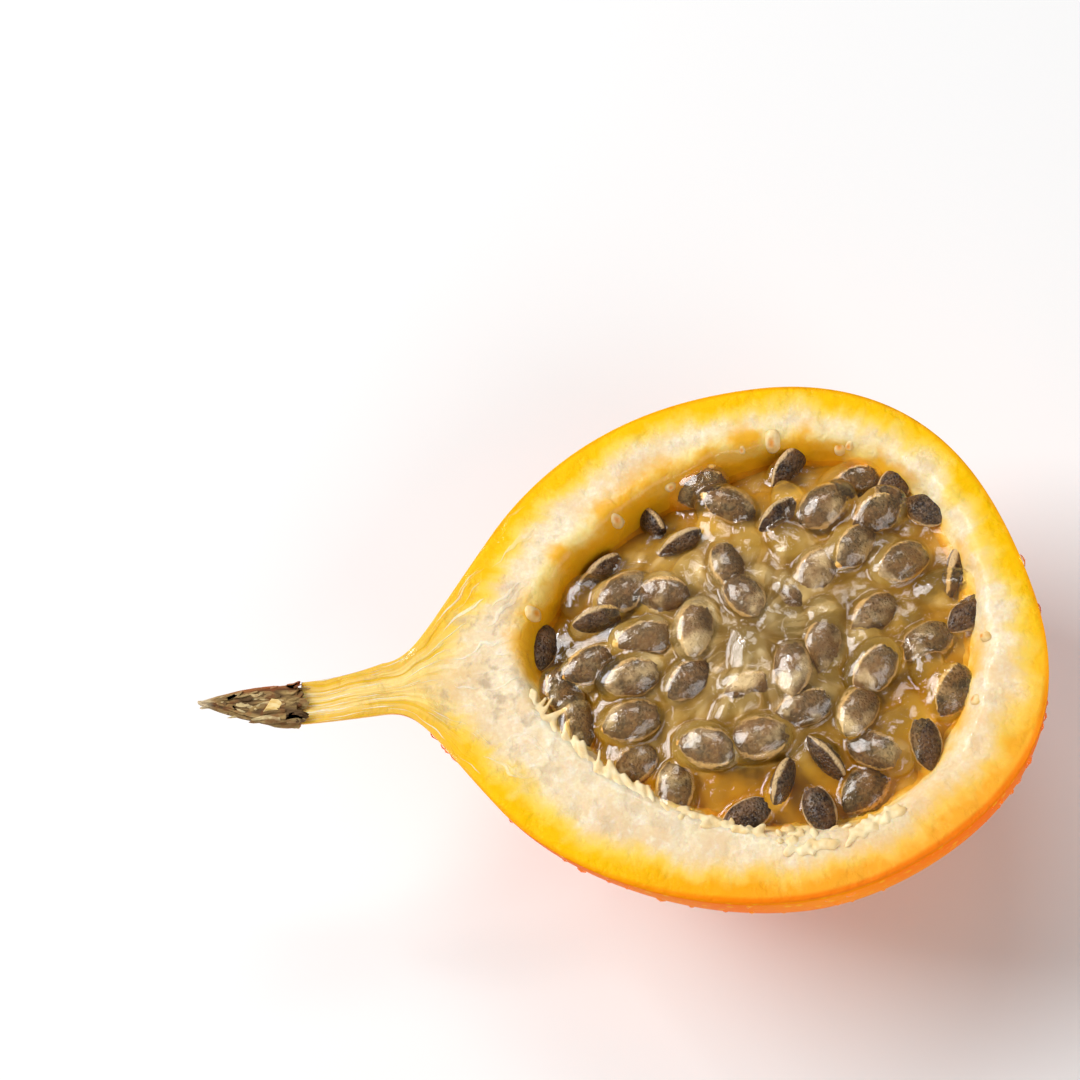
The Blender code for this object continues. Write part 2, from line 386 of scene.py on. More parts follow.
def roughen(tree, shader, height, strength, distance, invert=False):
    """Lets a height tilt the shading, as fine relief would."""
    bump = add(tree, "ShaderNodeBump", {"Strength": strength, "Distance": distance, "Height": height},
               invert=invert)
    tree.links.new(bump.outputs[0], shader.inputs["Normal"])


def no_shadow(tree, shader, output, through):
    """Makes a clear material plainly transparent to shadow rays, which it tints a little."""
    clear = add(tree, "ShaderNodeBsdfTransparent", {"Color": through})
    light_path = add(tree, "ShaderNodeLightPath")
    mixed = add(tree, "ShaderNodeMixShader", {0: light_path.outputs["Is Shadow Ray"], 1: shader.outputs[0],
                                              2: clear.outputs[0]})
    tree.links.new(mixed.outputs[0], output.inputs["Surface"])


def colour(red, green, blue):
    """A shader colour from the 0 to 255 numbers of a colour picker."""
    def linear(value):
        value /= 255
        return value / 12.92 if value <= 0.04045 else ((value + 0.055) / 1.055) ** 2.4
    return (linear(red), linear(green), linear(blue), 1)


# %% [markdown]
# ## Shared effects
# Real surfaces share a few kinds of unevenness: soft clouds, round specks, and fibres that run
# one way. Each is built once as a node group with named inputs, and every material sets its own
# scale. They all read Object coordinates, which are metres here, so a scale of 1000 means
# one feature to the millimetre.

# %% Helpers: start a node group, end it, and use it
def new_group(name, inputs, outputs):
    group = bpy.data.node_groups.new(name, "ShaderNodeTree")
    for label, value in inputs.items():
        socket = group.interface.new_socket(label, in_out="INPUT", socket_type="NodeSocketFloat")
        socket.default_value = value
    for label in outputs:
        group.interface.new_socket(label, in_out="OUTPUT", socket_type="NodeSocketFloat")
    into = group.nodes.new("NodeGroupInput")
    out = group.nodes.new("NodeGroupOutput")
    place = add(group, "ShaderNodeTexCoord").outputs["Object"]
    return group, into.outputs, out, place


def end_group(group, into, out, value):
    """Stretches the value between the group's Low and High, and gives it out as the mask."""
    group.links.new(spread(group, value, into["Low"], into["High"]), out.inputs["Mask"])


def use_group(tree, group, output, **values):
    """Places a group in a material with its own values, and gives one of its outputs."""
    made = tree.nodes.new("ShaderNodeGroup")
    made.node_tree = group
    for label, value in values.items():
        socket = made.inputs[label.replace("_", " ")]
        if isinstance(value, bpy.types.NodeSocket):
            tree.links.new(value, socket)
        else:
            socket.default_value = value
    return made.outputs[output]


# %% Group: soft clouds
clouds, into, out, place = new_group("soft clouds", {"Scale": 1000, "Detail": 3, "Low": 0.4, "High": 0.6},
                                     ["Mask"])
cloud = add(clouds, "ShaderNodeTexNoise", {"Vector": place, "Scale": into["Scale"],
                                           "Detail": into["Detail"]})
end_group(clouds, into, out, cloud.outputs[0])


def cloudy(tree, scale, detail, low, high):
    """Soft clouds in a material: features to the metre, and the noise that counts as 0 and as 1."""
    return use_group(tree, clouds, "Mask", Scale=scale, Detail=detail, Low=low, High=high)


# %% Group: round specks
specks, into, out, place = new_group("round specks", {"Scale": 1000, "Size": 0.3, "Edge": 0.1,
                                                      "Share": 0.6}, ["Mask"])
cells = add(specks, "ShaderNodeTexVoronoi", {"Vector": place, "Scale": into["Scale"]})
inner = minus(specks, into["Size"], into["Edge"])
disc = add(specks, "ShaderNodeMapRange", {0: cells.outputs["Distance"], 1: inner, 2: into["Size"],
                                          3: 1.0, 4: 0.0}, interpolation_type="SMOOTHSTEP").outputs[0]
pick = add(specks, "ShaderNodeSeparateColor", {0: cells.outputs["Color"]}).outputs[0]
kept = calc(specks, "LESS_THAN", pick, into["Share"])
specks.links.new(times(specks, disc, kept), out.inputs["Mask"])

# %% Group: fibres along the fruit
fibres, into, out, place = new_group("fibres", {"Scale": 1000, "Stretch": 0.1, "Low": 0.35, "High": 0.65},
                                     ["Mask"])
parts = add(fibres, "ShaderNodeSeparateXYZ", {0: place})
long_x = times(fibres, parts.outputs[0], into["Stretch"])
drawn = add(fibres, "ShaderNodeCombineXYZ", {0: long_x, 1: parts.outputs[1], 2: parts.outputs[2]})
strands = add(fibres, "ShaderNodeTexNoise", {"Vector": drawn.outputs[0], "Scale": into["Scale"],
                                             "Detail": 4})
end_group(fibres, into, out, strands.outputs[0])

# %% Group: fibres that fan out of the stalk
fan, into, out, place = new_group("fan of fibres", {"Scale": 12, "Stretch": 90, "Low": 0.4, "High": 0.6},
                                  ["Mask"])
parts = add(fan, "ShaderNodeSeparateXYZ", {0: place})
wander = add(fan, "ShaderNodeTexNoise", {"Vector": place, "Scale": 170, "Detail": 2}).outputs[0]
sideways = plus(fan, attribute(fan, "across"), times(fan, wander, 0.35))
drawn = add(fan, "ShaderNodeCombineXYZ", {0: times(fan, sideways, into["Scale"]),
                                          1: times(fan, parts.outputs[0], into["Stretch"])})
threads = add(fan, "ShaderNodeTexNoise", {"Vector": drawn.outputs[0], "Scale": 1, "Detail": 3})
end_group(fan, into, out, threads.outputs[0])

# %% Group: streaks that run from the skin to the hollow
streaks, into, out, place = new_group("streaks", {"Scale": 9, "Stretch": 120, "Low": 0.35, "High": 0.65},
                                      ["Mask"])
spoke = add(streaks, "ShaderNodeAttribute", attribute_name="spoke").outputs["Vector"]
turned = add(streaks, "ShaderNodeVectorMath", {0: spoke, 3: into["Scale"]}, operation="SCALE").outputs[0]
depth = times(streaks, attribute(streaks, "from_skin"), into["Stretch"])
depth = add(streaks, "ShaderNodeCombineXYZ", {2: depth})
joined = add(streaks, "ShaderNodeVectorMath", {0: turned, 1: depth.outputs[0]}, operation="ADD")
drawn = add(streaks, "ShaderNodeTexNoise", {"Vector": joined.outputs[0], "Scale": 1, "Detail": 3})
end_group(streaks, into, out, drawn.outputs[0])
print("effects:", [group.name for group in bpy.data.node_groups])

# %% [markdown]
# ## Cut face finish
# Just under the peel the flesh is a strong yellow. It fades through a ragged border into cream
# pith, which is moist, grainy, and a little darker in its hollows. Towards the stalk the pith
# turns to pale fibres. The band is painted oranger on the lower side and the pith golden on the
# lower right: painted light, as if light shone through the flesh there. The wall of the hollow
# is stained amber by the juice, and the amber is partly painted light: it reaches higher and
# glows brighter on the far wall, for light coming through the pith. Two values that are stored
# on the mesh say where a point is: its distance from the skin, and how far down the wall it lies.

# %% Material: cut face
pith, tree, shader, output = new_material("cut_pith")
xyz = object_place(tree)
from_skin = attribute(tree, "from_skin")
down_wall = attribute(tree, "down_wall")
far = attribute(tree, "far")
big = cloudy(tree, 130, 2, 0.3, 0.7)
ragged = cloudy(tree, 700, 4, 0.25, 0.75)
patches = cloudy(tree, 210, 5, 0.38, 0.62)
flecks = cloudy(tree, 800, 3, 0.44, 0.74)
fine = cloudy(tree, 2300, 2, 0.40, 0.64)
damp = cloudy(tree, 420, 4, 0.50, 0.70)
streak = use_group(tree, streaks, "Mask", Scale=11, Stretch=110)
fine_streak = use_group(tree, streaks, "Mask", Scale=34, Stretch=260)
near_stalk = spread(tree, xyz[0], neck_x + 0.008, neck_x + 0.028, 1.0, 0.0)

# %% Cut face: cream pith with streaks, flecks and damp spots
cream = blend(tree, patches, colour(238, 211, 172), colour(254, 240, 208))
cream = tint(tree, cream, streak, 0.55, colour(252, 235, 196))
cream = tint(tree, cream, fine_streak, 0.25, colour(240, 208, 158))
cream = tint(tree, cream, flecks, 0.60, colour(255, 246, 226))
cream = blend(tree, times(tree, minus(tree, 1.0, fine), 0.22), cream, colour(226, 188, 136))
wetness = times(tree, damp, spread(tree, near_stalk, 0.0, 1.0, 0.40, 0.72))
cream = blend(tree, wetness, cream, colour(208, 181, 146))

# %% Cut face: yellow band under the peel; painted light makes it oranger on the lower side
lower_side = spread(tree, minus(tree, times(tree, xyz[0], 0.4), xyz[1]), 0.014, 0.034)
stem_side = spread(tree, xyz[0], -0.020, 0.012, 1.0, 0.0)
band_edge = weighted(tree, (big, 0.0010), (lower_side, 0.0006), (ragged, 0.0007), (streak, 0.0012),
                     (stem_side, 0.0006))
inward = minus(tree, from_skin, band_edge)
yellow = blend(tree, lower_side, colour(254, 196, 0), colour(254, 164, 0))
pale_yellow = blend(tree, lower_side, colour(251, 211, 80), colour(253, 202, 84))
base = blend(tree, spread(tree, inward, -0.0006, 0.0012), yellow, pale_yellow)
base = blend(tree, spread(tree, inward, 0.0006, 0.0040), base, cream)
# Painted light: the pith is painted golden on the lower right, as light shining through the flesh.
painted_glow_right_low = spread(tree, minus(tree, xyz[0], xyz[1]), 0.022, 0.046)
base = blend(tree, plus(tree, times(tree, lower_side, 0.10), times(tree, painted_glow_right_low, 0.22)),
             base, colour(253, 194, 92))
line = spread(tree, minus(tree, from_skin, times(tree, lower_side, 0.0003)), 0.0001, 0.0007, 1.0, 0.0)
base = blend(tree, times(tree, line, 0.8), base,
             blend(tree, lower_side, colour(250, 160, 2), colour(251, 118, 0)))

# %% Cut face: fibres that fan out of the stalk, and the wet hollows between them
tan_fibre = use_group(tree, fan, "Mask", Scale=9, Stretch=40, Low=0.38, High=0.62)
yellow_fibre = use_group(tree, fan, "Mask", Scale=6, Stretch=70, Low=0.54, High=0.62)
white_fibre = use_group(tree, fan, "Mask", Scale=15, Stretch=120, Low=0.58, High=0.66)
at_edge = spread(tree, calc(tree, "ABSOLUTE", attribute(tree, "across")), 0.40, 0.85)
along_stalk = spread(tree, xyz[0], neck_x + 0.001, neck_x + 0.015, 1.0, 0.0)
stalk_colour = blend(tree, tan_fibre, colour(238, 198, 108), colour(251, 222, 144))
stalk_colour = blend(tree, calc(tree, "MAXIMUM", yellow_fibre, times(tree, at_edge, 0.75)),
                     stalk_colour, colour(230, 184, 52))
stalk_colour = tint(tree, stalk_colour, white_fibre, 0.6, colour(255, 242, 208))
base = blend(tree, times(tree, along_stalk, 0.92), base, stalk_colour)
past_neck = times(tree, spread(tree, xyz[0], neck_x + 0.004, neck_x + 0.009),
                 spread(tree, xyz[0], neck_x + 0.014, neck_x + 0.021, 1.0, 0.0))
hollows = times(tree, past_neck, times(tree, damp, minus(tree, 1.0, at_edge)))
base = tint(tree, base, hollows, 0.8, colour(206, 180, 146))
long_thread = times(tree, white_fibre, spread(tree, xyz[0], neck_x + 0.012, neck_x + 0.022, 1.0, 0.0))
base = tint(tree, base, long_thread, 0.6, colour(255, 244, 220))

# %% Cut face: amber down the wall, juice stain and painted glow; gloss and relief
# Juice stain and painted light: the amber starts higher and is brighter on the far wall, down to the deep
# amber at the wall's foot, as light glowing through the pith.
wall_start = plus(tree, down_wall, weighted(tree, (patches, -0.0014), (big, -0.0012), (far, 0.0040)))
stain = blend(tree, patches, colour(246, 186, 54), colour(254, 222, 126))
base = blend(tree, spread(tree, wall_start, -0.0002, 0.0040), base, stain)
base = blend(tree, spread(tree, wall_start, 0.0022, 0.0062), base, colour(236, 168, 20))
tree.links.new(base, shader.inputs["Base Color"])
relief = weighted(tree, (flecks, 0.3), (damp, -0.7), (times(tree, white_fibre, near_stalk), 0.9),
                  (times(tree, yellow_fibre, along_stalk), -0.7))
roughen(tree, shader, relief, 0.45, 0.0004)
in_pith = spread(tree, inward, 0.0008, 0.0036, 0.0, 0.35)
wet = plus(tree, in_pith, times(tree, damp, spread(tree, near_stalk, 0.0, 1.0, 0.1, 0.6)))
tree.links.new(wet, shader.inputs["Coat Weight"])
set_sockets(shader, {"Coat Roughness": 0.12, "Roughness": 0.5, "Specular IOR Level": 0.07,
                     "Subsurface Weight": 0.35, "Subsurface Radius": (1.0, 0.55, 0.2),
                     "Subsurface Scale": 0.0014})

# %% [markdown]
# ## Peel finish
# The peel is orange, deeper by the stalk, and covered with fine pale dots. The dots are specks of
# two sizes, and the ground colour drifts in soft clouds. A few small dark specks are blemishes.

# %% Material: peel
peel, tree, shader, output = new_material("orange_peel")
xyz = object_place(tree)
drift = cloudy(tree, 45, 3, 0.3, 0.7)
ground = blend(tree, drift, colour(254, 112, 0), colour(255, 146, 0))
ripe = spread(tree, xyz[0], neck_x, neck_x + 0.020, 1.0, 0.0)
ground = tint(tree, ground, ripe, 0.8, colour(233, 84, 4))
large = use_group(tree, specks, "Mask", Scale=620, Size=0.34, Edge=0.16, Share=0.6)
small = use_group(tree, specks, "Mask", Scale=1150, Size=0.30, Edge=0.14, Share=0.5)
dots = calc(tree, "MAXIMUM", large, times(tree, small, 0.7))
base = blend(tree, times(tree, dots, 0.5), ground, colour(255, 196, 30))
blemish = use_group(tree, specks, "Mask", Scale=130, Size=0.10, Edge=0.05, Share=0.35)
base = tint(tree, base, blemish, 0.8, colour(150, 52, 8))
stalk = spread(tree, xyz[0], neck_x - 0.001, neck_x + 0.004, 1.0, 0.0)
strand = use_group(tree, fibres, "Mask", Scale=1800, Stretch=0.08)
base = blend(tree, stalk, base, blend(tree, strand, colour(232, 172, 50), colour(250, 208, 110)))
edge = spread(tree, xyz[2], cut_height - 0.0006, cut_height - 0.0001)
base = tint(tree, base, edge, 0.35, colour(254, 170, 4))
tree.links.new(base, shader.inputs["Base Color"])
set_sockets(shader, {"Roughness": 0.42, "Specular IOR Level": 0.02})
dimple = plus(tree, dots, cloudy(tree, 700, 3, 0.2, 0.8))
roughen(tree, shader, dimple, 0.25, 0.0002)

# %% [markdown]
# ## The shell
# Wall, peel and stalk grew as one thing, so they are one closed mesh. It starts as a flat
# square grid. Each row of the grid is squeezed to the width of the fruit at one station, which
# turns the square into the cut face. One edge of it is then spun half a turn about the long
# axis, and that sweeps out the skin. Last, every point is moved to the uneven body and the
# hollow is pushed in.

# %% Build the even half: a squeezed grid and half a spin
across_steps = 190
skin_steps = 96
bm = bmesh.new()
across_layer = bm.verts.layers.float.new("across")
last = len(skin_stations) - 1
bmesh.ops.create_grid(bm, x_segments=last, y_segments=across_steps, size=1)
for vert in bm.verts:
    x, radius = skin_stations[round((vert.co.x + 1) / 2 * last)]
    vert[across_layer] = vert.co.y
    vert.co = Vector((x, radius * vert.co.y, 0))
rim = [edge for edge in bm.edges if edge.is_boundary
       and min(vert.co.y for vert in edge.verts) > 0 and abs(edge.verts[0].co.x - edge.verts[1].co.x) > MERGE]
rim_verts = list({vert for edge in rim for vert in edge.verts})
cut_faces = set(bm.faces)
bmesh.ops.spin(bm, geom=rim + rim_verts, cent=(0, 0, 0), axis=(-1, 0, 0), angle=math.pi, steps=skin_steps)
for face in bm.faces:
    face.material_index = 0 if face in cut_faces else 1
bmesh.ops.remove_doubles(bm, verts=bm.verts[:], dist=2 * MERGE)
open_end = [edge for edge in bm.edges if edge.is_boundary]
bmesh.ops.holes_fill(bm, edges=open_end, sides=0)
print("even half:", len(bm.verts), "points,", len([e for e in bm.edges if e.is_boundary]), "open edges")

# %% Move it to the uneven body, push in the hollow and roughen the cut
from_skin_layer = bm.verts.layers.float.new("from_skin")
down_wall_layer = bm.verts.layers.float.new("down_wall")
far_layer = bm.verts.layers.float.new("far")
spoke_layer = bm.verts.layers.float_vector.new("spoke")
flat_verts = [vert for vert in bm.verts if vert.co.z > -MERGE]
for vert in bm.verts:
    vert.co = uneven(vert.co)
rim_points = [vert.co.copy() for vert in flat_verts
              if any(face.material_index == 1 for face in vert.link_faces)]
outline = KDTree(len(rim_points))
for i, point in enumerate(rim_points):
    outline.insert(point, i)
outline.balance()
lowest = flat_depth - body_radius
for vert in bm.verts:
    vert.co.z = max(vert.co.z, lowest)
for vert in flat_verts:
    gap = outline.find(vert.co)[2]
    vert[from_skin_layer] = gap
    direction = reach_of(vert.co.x, vert.co.y)[1]
    vert[spoke_layer] = direction.to_3d()
    vert[far_layer] = far_side(direction)
    place, travelled = hollow(vert.co.x, vert.co.y)
    vert[down_wall_layer] = travelled
    rough = noise.fractal(place * 700, 0.9, 2.0, 3) * 0.07 * MM
    lumps = noise.noise(place * 230) * 0.24 * MM
    inside = min(gap / (0.8 * MM), 1)
    if travelled > 0:
        place.xy += (cavity_middle - place.xy).normalized() * (lumps + rough) * 1.6
    place.z += (lumps + rough) * inside - (1 - inside) * 0.12 * MM
    vert.co = place
for vert in bm.verts:
    vert.co.z += cut_height
shell = finish_piece(bm, "rind_and_pith", [pith, peel])
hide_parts("shell", "stem")

# %% [markdown]
# ## Where the seeds lie
# No seed is placed by hand. Seeds crowd evenly, so each new one goes to the roomiest of a few
# dozen random places in the hollow. Its place then decides the rest: seeds in the middle are
# covered with milky jelly, those near the wall are bare, and some by the far wall stand on
# edge. The pulp is level with the cut in the middle and lower at the far wall.

# %% Helpers: height of the pulp, and evenly crowded places
def surface(x, y):
    """Height of the sacs' tops over the cut at x, y."""
    reach, direction = reach_of(x, y)
    reach = min(reach, 1)
    return (0.9 - (1.8 + 2.4 * far_side(direction)) * reach ** 2.6) * MM


def even_places(count, tries=40):
    """Points of the plan, each the roomiest of some random ones, clear of the very middle."""
    places = []
    while len(places) < count:
        choices = []
        for _ in range(tries):
            turn = random.uniform(0, TURN)
            reach = 0.92 * math.sqrt(random.uniform(0.03, 1))
            choices.append(plan_point(Vector((math.cos(turn), math.sin(turn))), reach))
        places.append(max(choices, key=lambda spot: min([(spot - other).length for other in places] or [1])))
    return places


# %% Lay out the seeds by rule
random.seed(11)
seed_count = 52
seed_frames = []
for spot in even_places(seed_count):
    reach, direction = reach_of(spot.x, spot.y)
    on_edge = reach > 0.6 and random.random() < 0.12 + 0.3 * far_side(direction)
    lean = random.uniform(55, 78) if on_edge else random.uniform(-4, 30)
    pitch = random.gauss(0, 9)
    turn = random.gauss(30, 45)
    sink = random.uniform(1.6, 2.3) if random.random() < 0.15 else random.uniform(0.0, 1.3)
    milky = 0.68 - 0.62 * reach ** 2 - 0.12 * direction.x * reach + random.gauss(0, 0.14)
    milky = 0.0 if on_edge else min(max(milky, 0.0), 0.75)
    top = surface(*spot) - (1.3 + sink) * MM
    facing = Euler((math.radians(lean), math.radians(pitch), math.radians(turn)))
    place = Matrix.Translation((spot.x, spot.y, cut_height + top))
    seed_frames.append((place @ facing.to_matrix().to_4x4(), random.uniform(6.1, 6.9) * MM,
                        random.uniform(3.6, 4.1) * MM, milky))
print(len(seed_frames), "seeds")

# %% [markdown]
# ## Seeds
# A granadilla seed is a flat shield, 6 mm long, pointed at one end. The other end is cut off
# with a few small teeth. Its faces are finely pitted, and its margin is pale. One seed is a
# squeezed ball whose end is flattened and notched. All of them are copies of it, turned and
# tilted their own way and joined in one mesh. Each keeps how milky the jelly over it is.

# %% Material: seed
seed_skin, tree, shader, output = new_material("dark_seed")
milky_value = attribute(tree, "milky")
margin = attribute(tree, "margin")
pits = use_group(tree, specks, "Mask", Scale=3000, Size=0.62, Edge=0.60, Share=1.0)
pits = times(tree, pits, spread(tree, milky_value, 0.1, 0.8, 1.0, 0.5))
tone = cloudy(tree, 500, 4, 0.35, 0.65)
grain = cloudy(tree, 2600, 3, 0.42, 0.62)
base = blend(tree, tone, colour(37, 15, 3), colour(98, 62, 30))
base = tint(tree, base, grain, 0.28, colour(154, 121, 82))
base = tint(tree, base, pits, 0.45, colour(30, 14, 4))
rim_share = spread(tree, plus(tree, margin, times(tree, tone, 0.15)), 0.54, 0.78)
base = tint(tree, base, rim_share, 0.85, colour(232, 196, 142))
base = tint(tree, base, milky_value, 0.34, colour(154, 122, 84))
# Milky film and painted sheen: pale blotches on the covered seeds stand for soft reflections on the jelly
# over them.
milky_veil_and_sheen = cloudy(tree, 300, 6, 0.48, 0.68)
base = blend(tree, times(tree, milky_veil_and_sheen, spread(tree, milky_value, 0.0, 0.6, 0.05, 0.75)), base,
             colour(214, 194, 164))
tree.links.new(base, shader.inputs["Base Color"])
set_sockets(shader, {"Roughness": 0.40, "Specular IOR Level": 0.45, "Sheen Weight": 0.10,
                     "Sheen Roughness": 0.35, "Sheen Tint": colour(244, 226, 196)})
roughen(tree, shader, pits, 0.8, 0.0002, invert=True)

# %% Model one seed
bm = bmesh.new()
margin_layer = bm.verts.layers.float.new("margin")
milky_layer = bm.verts.layers.float.new("milky")
made = bmesh.ops.create_uvsphere(bm, u_segments=36, v_segments=30, radius=1)["verts"]
bmesh.ops.rotate(bm, verts=made, cent=(0, 0, 0), matrix=Matrix.Rotation(math.pi / 2, 3, "Y"))
for vert in bm.verts:
    x, y, z = vert.co
    around = math.hypot(y, z)
    flatness = abs(z) / around if around > 0.001 else 1.0
    vert[margin_layer] = 1 - flatness if x < 0.9 else 0.2
    taper = 1 - 0.42 * max(-x, 0) ** 2 + 0.10 * max(x, 0)
    tooth = 0.03 * math.cos(TURN * y / 0.40) if x > 0.84 else 0.0
    vert.co = Vector((min(x, 0.90 + tooth), y * taper, z * flatness ** 0.3 * taper))
seed_mesh = pattern_mesh("one_seed", bm)

# %% Place the seeds
bm = bmesh.new()
for seed_frame, length, width, milky in seed_frames:
    size = Matrix.Diagonal((length / 2, width / 2, random.uniform(1.1, 1.3) * MM, 1))
    made = add_copy(bm, seed_mesh, seed_frame @ size)
    milky_layer = bm.verts.layers.float["milky"]
    for vert in made:
        vert[milky_layer] = milky
finish_piece(bm, "seeds", [seed_skin])

# %% [markdown]
# ## Core
# Under the seeds lies a core, coloured like juice seen in depth: honey at the wall, dark
# between the seeds, where the dark also stands for painted shade in the gaps, lighter on the
# far side, and milky with pale rays in the middle. It is a spun bowl with a lumpy top.

# %% Material: core
juice_core, tree, shader, output = new_material("amber_core")
reach_value = attribute(tree, "reach")
xyz = object_place(tree)
drift = cloudy(tree, 240, 3, 0.3, 0.7)
# Juice in depth and painted shade: this dark drift is what shows in the gaps between the seeds.
base = blend(tree, drift, colour(112, 85, 10), colour(178, 143, 42))
far_side_share = spread(tree, xyz[1], 0.006, 0.020)
base = tint(tree, base, far_side_share, 0.55, colour(220, 176, 72))
ray = use_group(tree, streaks, "Mask", Scale=6, Stretch=150, Low=0.40, High=0.66)
ray = times(tree, ray, spread(tree, reach_value, 0.04, 0.26))
base = tint(tree, base, ray, 0.4, colour(188, 160, 92))
near_side = spread(tree, minus(tree, times(tree, xyz[0], 0.5), xyz[1]), -0.002, 0.022)
honey = plus(tree, reach_value, times(tree, drift, 0.1))
honey = spread(tree, plus(tree, honey, times(tree, near_side, 0.22)), 0.80, 1.02)
gel = spread(tree, plus(tree, xyz[0], times(tree, drift, 0.004)), 0.019, 0.027)
base = blend(tree, honey, base, blend(tree, gel, colour(204, 156, 4), colour(206, 174, 98)))
milky = spread(tree, plus(tree, reach_value, times(tree, drift, -0.2)), 0.05, 0.5, 1.0, 0.0)
base = blend(tree, times(tree, milky, 0.9), base,
             blend(tree, ray, colour(128, 107, 64), colour(198, 176, 132)))
tree.links.new(base, shader.inputs["Base Color"])
shader.inputs["Roughness"].default_value = 0.25

# %% Build the core
bm = bmesh.new()
bowl_angles = [math.pi / 2 * i / 14 for i in range(13)]
bowl = [(math.sin(angle), -cavity_depth * math.cos(angle)) for angle in bowl_angles]
spin_profile(bm, bowl + [(1 - i / 48, 0) for i in range(49)], 144)
bmesh.ops.remove_doubles(bm, verts=bm.verts[:], dist=0.0001)
reach_layer = bm.verts.layers.float.new("reach")
run_layer = bm.verts.layers.float.new("from_skin")
spoke_layer = bm.verts.layers.float_vector.new("spoke")
for vert in bm.verts:
    reach = vert.co.xy.length
    direction = vert.co.xy.normalized()
    vert[reach_layer] = reach
    vert[run_layer] = reach * cavity_half_width
    vert[spoke_layer] = direction.to_3d()
    flat = plan_point(direction, reach * 1.01)
    if vert.co.z < -MERGE:
        vert.co = Vector((flat.x, flat.y, vert.co.z + cut_height))
        continue
    lumps = noise.noise(Vector((flat.x, flat.y, 0)) * 300) * 0.8 * MM
    below = (1.8 + 2.2 * min(reach * 1.3, 1)) * MM
    vert.co = Vector((flat.x, flat.y, surface(*flat) - below + lumps + cut_height))
core = finish_piece(bm, "pulp_core", [juice_core])
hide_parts("pulp")

# %% [markdown]
# ## Jelly
# The jelly is one body: an ellipsoid for every sac, seedless lumps among them, and a pool of
# juice between them. A voxel remesh fuses them like drops that touch, and leaves a crease
# where two sacs meet. It lets light through, so the seeds show inside it. For shadow rays it is
# plainly transparent, so the light that falls on the seeds isn't lost in noise.

# %% Material: jelly
jelly_finish, tree, shader, output = new_material("clear_jelly")
reach_value = attribute(tree, "reach")
relief_value = attribute(tree, "relief")
haze = cloudy(tree, 300, 3, 0.35, 0.65)
inner = spread(tree, plus(tree, reach_value, times(tree, haze, -0.2)), 0.35, 0.95, 1.0, 0.0)
bulge = blend(tree, inner, colour(250, 234, 172), colour(248, 238, 204))
# Juice and painted shade: the creases between sacs are darker amber, where juice gathers and shade falls; the
# bulges are paler.
crease = blend(tree, inner, colour(202, 158, 40), colour(194, 164, 98))
base = blend(tree, spread(tree, relief_value, -0.35, 0.25), crease, bulge)
tree.links.new(base, shader.inputs["Base Color"])
set_sockets(shader, {"Transmission Weight": 0.98, "IOR": 1.42})
tree.links.new(spread(tree, haze, 0.0, 1.0, 0.03, 0.12), shader.inputs["Roughness"])
set_sockets(shader, {"Coat Weight": 0.6, "Coat IOR": 1.6, "Coat Roughness": 0.08})
ripple = cloudy(tree, 420, 3, 0.2, 0.8)
fine_ripple = cloudy(tree, 1900, 2, 0.2, 0.8)
ripple = plus(tree, ripple, times(tree, fine_ripple, 0.22))
roughen(tree, shader, ripple, 0.35, 0.0006)
no_shadow(tree, shader, output, (0.93, 0.88, 0.76, 1))

# %% Build the sacs and the pool
bm = bmesh.new()
bmesh.ops.create_icosphere(bm, subdivisions=3, radius=1)
sac_mesh = pattern_mesh("one_sac", bm)
bm = bmesh.new()
for seed_frame, length, width, milky in seed_frames:
    covered = milky > 0.12
    spare = (0.95 + random.uniform(-0.3, 0.35)) * MM if covered else 0.3 * MM
    shift = Matrix.Translation((random.uniform(-0.5, 0.5) * MM, random.uniform(-0.3, 0.3) * MM,
                                0.2 * MM if covered else -1.0 * MM))
    size = Matrix.Diagonal((length / 2 + spare, width / 2 + spare, 1.2 * MM + spare, 1))
    add_copy(bm, sac_mesh, shift @ seed_frame @ size)
outer_lumps = 24
middle_lumps = 6
for i in range(outer_lumps + middle_lumps):
    turn = random.uniform(0, TURN)
    reach = random.uniform(0.30, 0.92) if i < outer_lumps else random.uniform(0.0, 0.3)
    spot = plan_point(Vector((math.cos(turn), math.sin(turn))), reach)
    size = Vector((random.uniform(3, 4.4), random.uniform(2, 3), random.uniform(1.4, 1.9))) * MM
    shift = Matrix.Translation((spot.x, spot.y, surface(*spot) - 2.2 * MM + cut_height))
    twist = Matrix.Rotation(random.uniform(0, TURN), 4, "Z")
    add_copy(bm, sac_mesh, shift @ twist @ Matrix.Diagonal((*size, 1)))
pool_profile = [(0, -9 * MM), (1.0, -9 * MM), (1.0, 0)] + [(1 - i / 24, 0) for i in range(1, 25)]
spin_profile(bm, pool_profile, 96)
for vert in [vert for vert in bm.verts if vert.co.z <= 0]:
    reach = vert.co.xy.length
    direction = vert.co.xy.normalized()
    flat = plan_point(direction, reach * 1.015)
    lift = surface(*flat) - (1.3 + 1.2 * reach) * MM if vert.co.z > -MERGE else vert.co.z
    vert.co = Vector((flat.x, flat.y, lift + cut_height))
bmesh.ops.remove_doubles(bm, verts=bm.verts[:], dist=MERGE)
jelly = finish_piece(bm, "jelly", [jelly_finish])

